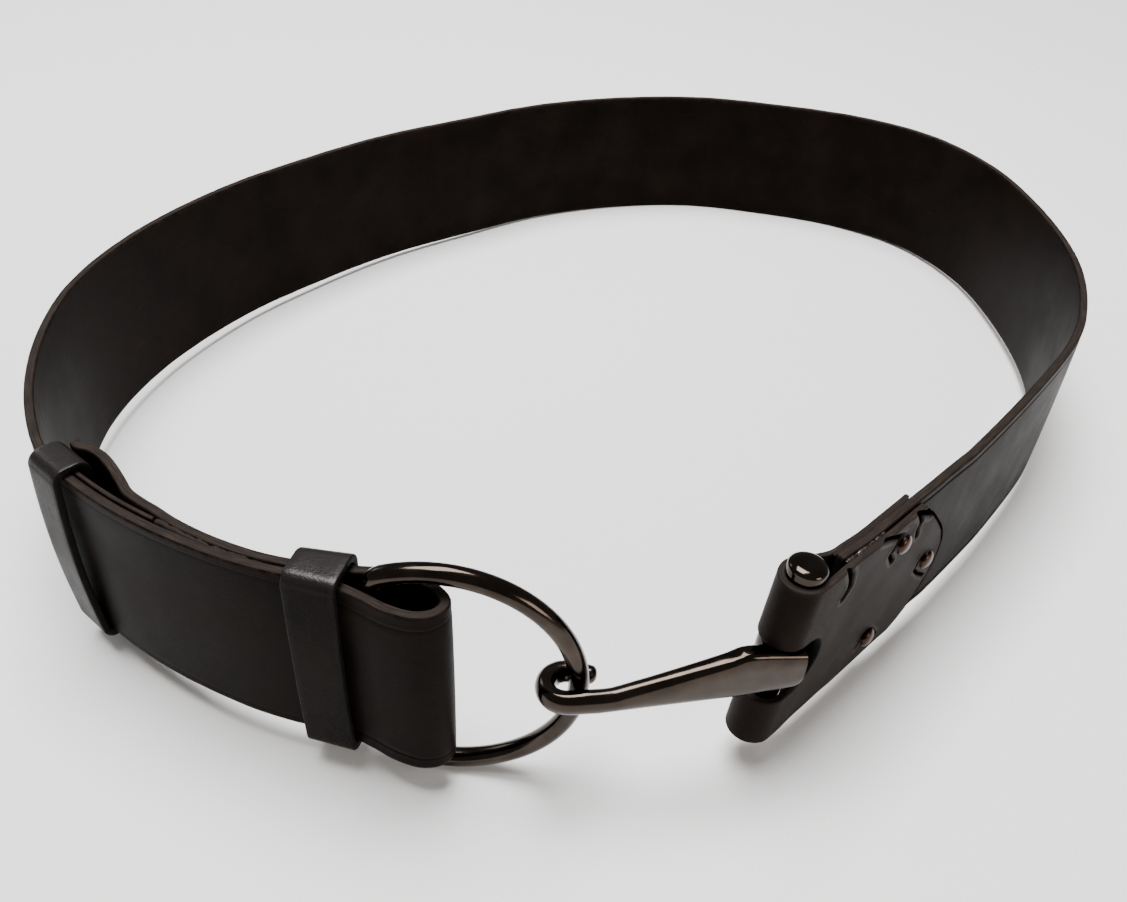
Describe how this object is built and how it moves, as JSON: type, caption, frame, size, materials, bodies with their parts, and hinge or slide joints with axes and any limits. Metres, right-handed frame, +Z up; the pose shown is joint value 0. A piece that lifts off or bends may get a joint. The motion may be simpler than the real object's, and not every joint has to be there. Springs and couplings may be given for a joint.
{
  "type": "wide belt",
  "caption": "Wide leather belt closed in an upright loop by a metal hook through a D-shaped ring, with leather keeper loops and a riveted tab that carries the hook on a pin.",
  "frame": {"origin": "middle of the bounding box at its lowest level, which is the surface that the belt stands on with its ring and the back of its strap", "axes": "+Z up, across the strap's width; -Y towards the hook and ring at the front; +X to the viewer's right, towards the riveted side"},
  "size_m": [0.3144, 0.3114, 0.0655],
  "materials": {
    "strap_leather": "fine-grained, semi-gloss, very dark brown",
    "keeper_leather": "smooth, semi-gloss, very dark brown",
    "dark_nickel": "polished dark nickel"
  },
  "bodies": {
    "root": {"strap": "strap_leather", "keeper_stay": "keeper_leather", "keeper_near": "keeper_leather", "keeper_far": "keeper_leather", "hook_chape": "strap_leather", "d_ring": "dark_nickel", "hook": "dark_nickel", "hook_pin": "dark_nickel", "rivet_upper": "dark_nickel", "rivet_tip": "dark_nickel", "rivet_lower": "dark_nickel"}
  },
  "joints": []
}
